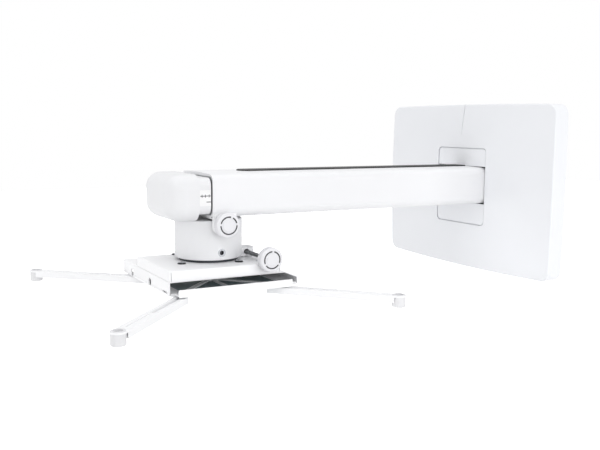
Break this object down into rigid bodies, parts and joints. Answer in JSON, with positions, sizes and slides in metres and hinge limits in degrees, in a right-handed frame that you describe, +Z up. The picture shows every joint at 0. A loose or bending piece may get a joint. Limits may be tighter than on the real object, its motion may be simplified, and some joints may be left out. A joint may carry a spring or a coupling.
{
  "type": "projector wall mount",
  "caption": "Wall arm for a projector: domed cover, straight telescoping arm, head with hand wheels for roll and swivel, and a slide-in plate with adjustable legs",
  "frame": {"origin": "on the wall plane, where the arm's centre line meets it", "axes": "+Y into the wall, the arm reaches into the room along minus Y, +Z up, +X to the right for someone facing the wall"},
  "size_m": [0.4398, 0.719, 0.284],
  "materials": {
    "cover_plastic": "fine satin moulded plastic, white",
    "arm_white": "smooth satin white powder coat on an extrusion",
    "sheet_white": "satin white powder coat on bent sheet",
    "cast_white": "fine textured white powder coat on a casting",
    "wheel_plastic": "satin white moulded plastic",
    "black_steel": "satin black coat on steel",
    "black_plastic": "matt black plastic strip",
    "glide_plastic": "natural slippery plastic",
    "bare_aluminium": "bare cast aluminium",
    "scale_film": "white printed film, plain ticks",
    "zinc_steel": "bright zinc plated steel"
  },
  "bodies": {
    "wall_side": {"wall_bracket": "black_steel", "bracket_studs": "zinc_steel", "inner_beam": "black_steel", "beam_nuts": "zinc_steel", "beam_glides": "glide_plastic", "wall_cover": "cover_plastic", "infill_upper": "cover_plastic", "infill_lower": "cover_plastic"},
    "arm_side": {"arm_tube": "arm_white", "cable_strip": "black_plastic", "arm_glides": "glide_plastic", "clamp_inserts": "zinc_steel", "clamp_screws": "zinc_steel", "bearing_plug": "bare_aluminium", "roll_lug": "sheet_white", "plug_screws": "zinc_steel"},
    "head_side": {"head_casting": "cast_white", "neck_screws": "zinc_steel", "roll_shaft": "zinc_steel", "shaft_washer": "zinc_steel", "shaft_nut": "zinc_steel", "roll_scale": "scale_film"},
    "nut_side": {"roll_nut": "zinc_steel"},
    "roll_wheel": {"roll_knob": "wheel_plastic", "roll_screw": "zinc_steel"},
    "barrel_side": {"swivel_barrel": "zinc_steel"},
    "tray_side": {"tray": "sheet_white", "tray_screws": "zinc_steel", "tray_spacers": "zinc_steel", "tray_nuts": "zinc_steel", "swivel_post": "black_steel", "post_screws": "zinc_steel", "knob_ear": "sheet_white", "ear_screws": "zinc_steel", "rail_carrier": "sheet_white"},
    "swivel_wheel": {"swivel_knob": "wheel_plastic", "swivel_screw": "zinc_steel"},
    "spider_side": {"spider_plate": "sheet_white", "backing_sheet": "black_steel"},
    "pivot_a": {"leg_screw_a": "zinc_steel", "leg_nut_a": "zinc_steel", "leg_washers_a": "zinc_steel"},
    "strut_a": {"leg_a": "sheet_white", "foot_a": "wheel_plastic"},
    "pivot_b": {"leg_screw_b": "zinc_steel", "leg_nut_b": "zinc_steel", "leg_washers_b": "zinc_steel"},
    "strut_b": {"leg_b": "sheet_white", "foot_b": "wheel_plastic"},
    "pivot_c": {"leg_screw_c": "zinc_steel", "leg_nut_c": "zinc_steel", "leg_washers_c": "zinc_steel"},
    "strut_c": {"leg_c": "sheet_white", "foot_c": "wheel_plastic"},
    "pivot_d": {"leg_screw_d": "zinc_steel", "leg_nut_d": "zinc_steel", "leg_washers_d": "zinc_steel"},
    "strut_d": {"leg_d": "sheet_white", "foot_d": "wheel_plastic"}
  },
  "joints": [
    {"name": "arm_extend", "type": "slide", "parent": "wall_side", "child": "arm_side", "axis": [0, -1, 0], "range_m": [0, 0.18]},
    {"name": "head_roll", "type": "hinge", "parent": "arm_side", "child": "head_side", "pos_m": [0, -0.5, 0], "axis": [0, 1, 0], "range_deg": [-3, 3]},
    {"name": "roll_wheel_spin", "type": "hinge", "parent": "arm_side", "child": "roll_wheel", "pos_m": [0.066, -0.507, -0.039], "axis": [1, 0, 0], "range_deg": [-740, 740]},
    {"name": "roll_nut_travel", "type": "slide", "parent": "arm_side", "child": "nut_side", "axis": [1, 0, 0], "range_m": [-0.0022, 0.0022]},
    {"name": "head_swivel", "type": "hinge", "parent": "head_side", "child": "tray_side", "pos_m": [0, -0.5045, -0.0918], "axis": [0, 0, 1], "range_deg": [-5, 5]},
    {"name": "barrel_turn", "type": "hinge", "parent": "head_side", "child": "barrel_side", "pos_m": [0.002, -0.4485, -0.0887], "axis": [0, 0, 1], "range_deg": [-5.2, 5.2]},
    {"name": "swivel_wheel_spin", "type": "hinge", "parent": "tray_side", "child": "swivel_wheel", "pos_m": [0.0815, -0.4485, -0.0887], "axis": [1, 0, 0], "range_deg": [-1770, 1770]},
    {"name": "plate_slide", "type": "slide", "parent": "tray_side", "child": "spider_side", "axis": [1, 0, 0], "range_m": [0, 0.1]},
    {"name": "leg_turn_a", "type": "hinge", "parent": "spider_side", "child": "pivot_a", "pos_m": [-0.086, -0.576, -0.1302], "axis": [0, 0, 1], "range_deg": [-15, 15]},
    {"name": "leg_slide_a", "type": "slide", "parent": "pivot_a", "child": "strut_a", "axis": [0.676, 0.7369, 0], "range_m": [-0.0055, 0.03]},
    {"name": "leg_turn_b", "type": "hinge", "parent": "spider_side", "child": "pivot_b", "pos_m": [0.076, -0.576, -0.1302], "axis": [0, 0, 1], "range_deg": [-15, 15]},
    {"name": "leg_slide_b", "type": "slide", "parent": "pivot_b", "child": "strut_b", "axis": [-0.7309, 0.6825, 0], "range_m": [-0.0002, 0.03]},
    {"name": "leg_turn_c", "type": "hinge", "parent": "spider_side", "child": "pivot_c", "pos_m": [0.076, -0.424, -0.1302], "axis": [0, 0, 1], "range_deg": [-15, 15]},
    {"name": "leg_slide_c", "type": "slide", "parent": "pivot_c", "child": "strut_c", "axis": [-0.73, -0.6834, 0], "range_m": [-0.0148, 0.03]},
    {"name": "leg_turn_d", "type": "hinge", "parent": "spider_side", "child": "pivot_d", "pos_m": [-0.086, -0.424, -0.1302], "axis": [0, 0, 1], "range_deg": [-15, 15]},
    {"name": "leg_slide_d", "type": "slide", "parent": "pivot_d", "child": "strut_d", "axis": [0.6915, -0.7224, 0], "range_m": [-0.024, 0.03]}
  ],
  "couplings": [
    {"joint": "roll_wheel_spin", "follows": "head_roll", "ratio": 245.04},
    {"joint": "roll_nut_travel", "follows": "head_roll", "m_per_rad": -0.039},
    {"joint": "barrel_turn", "follows": "head_swivel", "ratio": 1},
    {"joint": "swivel_wheel_spin", "follows": "head_swivel", "ratio": -351.86}
  ]
}
